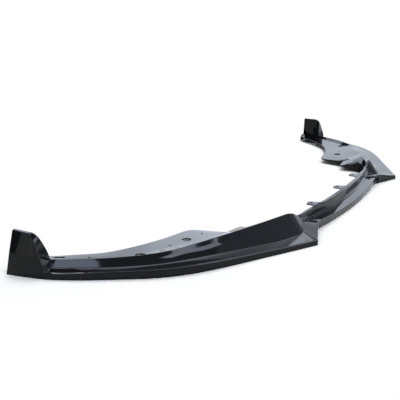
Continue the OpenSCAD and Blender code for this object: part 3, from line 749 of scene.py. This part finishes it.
# Studio: pale floor, bright backdrop with a darker gap high up, dim walls and ceiling, soft lamps
# The floor's glow fades out where the lip covers its surroundings, within a reach in metres, so that the
# shadow stays. The lift, over a short stretch of x, leaves the shadow deeper at the left.
floorLook = {"half": 14, "colour": (0.84, 0.81, 0.75, 1), "reach": 0.16, "samples": 8, "fade": (0.56, 0.97),
             "lift": 0.16, "liftFrom": (-0.70, -0.50)}
# The backdrop's angles are in degrees. Its brightness rises from low to high, and a gap lowers its top.
studio = {"tint": (0.9, 0.975, 1.11, 1), "backdropLow": 1.3, "backdropHigh": 2.9, "ceiling": 0.35,
          "backdropTurn": 33.5, "backdropHalf": 41.5, "gapTurn": 33.5, "gapHalf": 9.5, "sideBlend": 2,
          "top": 27, "gapTop": 19.7, "topBlend": 1.3}
# Other walls and panels, in degrees: middle and half of the azimuth, low and high elevation, then how much
# brighter than the ceiling they are, or how much they add to the backdrop
walls = {
    "leftWall": (127.5, 52.5, -90, 12, -0.23),
    "gap": (33.5, 9.5, 20, 29, -0.25),
    "highBack": (27, 37, 29, 60, 2.25),
    "platePanel": (33, 3.5, -1, 18, 0.8),
    "frontLow": (-54, 46, -90, 5, 1.65),
    "frontHigh": (-38, 30, 6, 57, 0.53),
    "frontStrip": (-82.5, 12.5, 6, 50, 6.65),
}
# Lamps: place, size, what they look at, radiance, colour
lamps = {
    "nearBox": ((-1.08, 0.6, 2.5), (0.32, 0.72), (-1.08, 0.6, 0), 7, (0.8, 0.92, 1.2)),
    "farBox": ((0.18, -0.82, 2.5), (0.26, 1.56), (0.18, -0.82, 0), 7.5, (0.88, 0.96, 1.14)),
}


def blend(t, value, ends, first=0.0, last=1.0):
    # A smooth change from first to last between two ends
    return t.add("ShaderNodeMapRange", {"interpolation_type": "SMOOTHSTEP"}, {
        "Value": value, "From Min": ends[0], "From Max": ends[1], "To Min": first, "To Max": last})


def studioFloor():
    size = floorLook["half"]
    floor = meshPiece("studioFloor", [(-size, -size, 0), (size, -size, 0), (size, size, 0), (-size, size, 0)],
                      [[0, 1, 2, 3]])
    material, t = newMaterial("paleFloor")
    diffuse = t.add("ShaderNodeBsdfDiffuse", {}, {"Color": floorLook["colour"]})
    glow = t.add("ShaderNodeEmission", {}, {"Color": (1, 1, 1, 1), "Strength": 1.0})
    path = t.add("ShaderNodeLightPath")
    seen = path.out("Is Camera Ray") + path.out("Is Glossy Ray") + path.out("Is Transmission Ray")
    place = t.add("ShaderNodeSeparateXYZ", {}, {0: t.add("ShaderNodeNewGeometry")})
    uncovered = t.add("ShaderNodeAmbientOcclusion", {"samples": floorLook["samples"]},
                      {"Distance": floorLook["reach"]}, out=1)
    lift = blend(t, place.out("X"), floorLook["liftFrom"], 0.0, floorLook["lift"])
    clear = blend(t, uncovered + lift, floorLook["fade"])
    mixed = t.add("ShaderNodeMixShader", {}, {0: seen * clear, 1: diffuse, 2: glow})
    t.add("ShaderNodeOutputMaterial", {}, {"Surface": mixed})
    floor.data.materials.append(material)


def studioWorld():
    world = bpy.data.worlds.new("studio")
    world.use_nodes = True
    bpy.context.scene.world = world
    t = Tree(world.node_tree)
    way = t.add("ShaderNodeSeparateXYZ", {}, {0: t.add("ShaderNodeTexCoord")})
    x, y, z = (way.out(axis) for axis in "XYZ")
    turn, height = y.maths("ARCTAN2", x), z.maths("ARCSINE", 0.0)

    def within(middle, half):
        # 1 inside a range of azimuth, 0 outside, in degrees
        away = (turn - math.radians(middle)).maths("ABSOLUTE", 0.0)
        edge = studio["sideBlend"]
        return blend(t, away, (math.radians(half - edge), math.radians(half + edge)), 1.0, 0.0)

    def below(limit):
        # 1 below an elevation in radians, 0 above it
        return blend(t, height - limit, (0.0, math.radians(studio["topBlend"])), 1.0, 0.0)

    dip = math.radians(studio["top"] - studio["gapTop"])
    over = below(math.radians(studio["top"]) - within(studio["gapTurn"], studio["gapHalf"]) * dip)
    share = t.add("ShaderNodeMapRange", {}, {"Value": height, "From Min": 0.0,
                                             "From Max": math.radians(studio["top"])})
    rise = share * share * (studio["backdropHigh"] - studio["backdropLow"]) \
        + (studio["backdropLow"] - studio["ceiling"])
    light = within(studio["backdropTurn"], studio["backdropHalf"]) * over * rise + studio["ceiling"]
    for middle, half, low, high, extra in walls.values():
        band = below(math.radians(high)) - below(math.radians(low))
        light = light + within(middle, half) * band * extra
    back = t.add("ShaderNodeBackground", {}, {"Color": studio["tint"], "Strength": light})
    t.add("ShaderNodeOutputWorld", {}, {"Surface": back})


def softbox(name, place, size, aim, radiance, colour):
    lamp = bpy.data.lights.new(name, "AREA")
    lamp.shape = "RECTANGLE"
    lamp.size, lamp.size_y = size
    lamp.energy = radiance * math.pi * size[0] * size[1]
    lamp.color = colour
    box = bpy.data.objects.new(name, lamp)
    box.location = place
    box.rotation_euler = (Vector(aim) - Vector(place)).to_track_quat("-Z", "Y").to_euler()
    bpy.context.scene.collection.objects.link(box)


studioFloor()
studioWorld()
for name, values in lamps.items():
    softbox(name, *values)

view = {"place": (-1.84729, -0.7849, 0.56855), "forward": (0.8284, 0.4833, -0.2830), "lens": 58.5}
lens = bpy.data.cameras.new("camera")
lens.lens = view["lens"]
camera = bpy.data.objects.new("camera", lens)
camera.location = view["place"]
camera.rotation_euler = Vector(view["forward"]).to_track_quat("-Z", "Y").to_euler()
bpy.context.scene.collection.objects.link(camera)
bpy.context.scene.camera = camera
bpy.context.scene.view_settings.view_transform = "Standard"
print("studio and camera set")
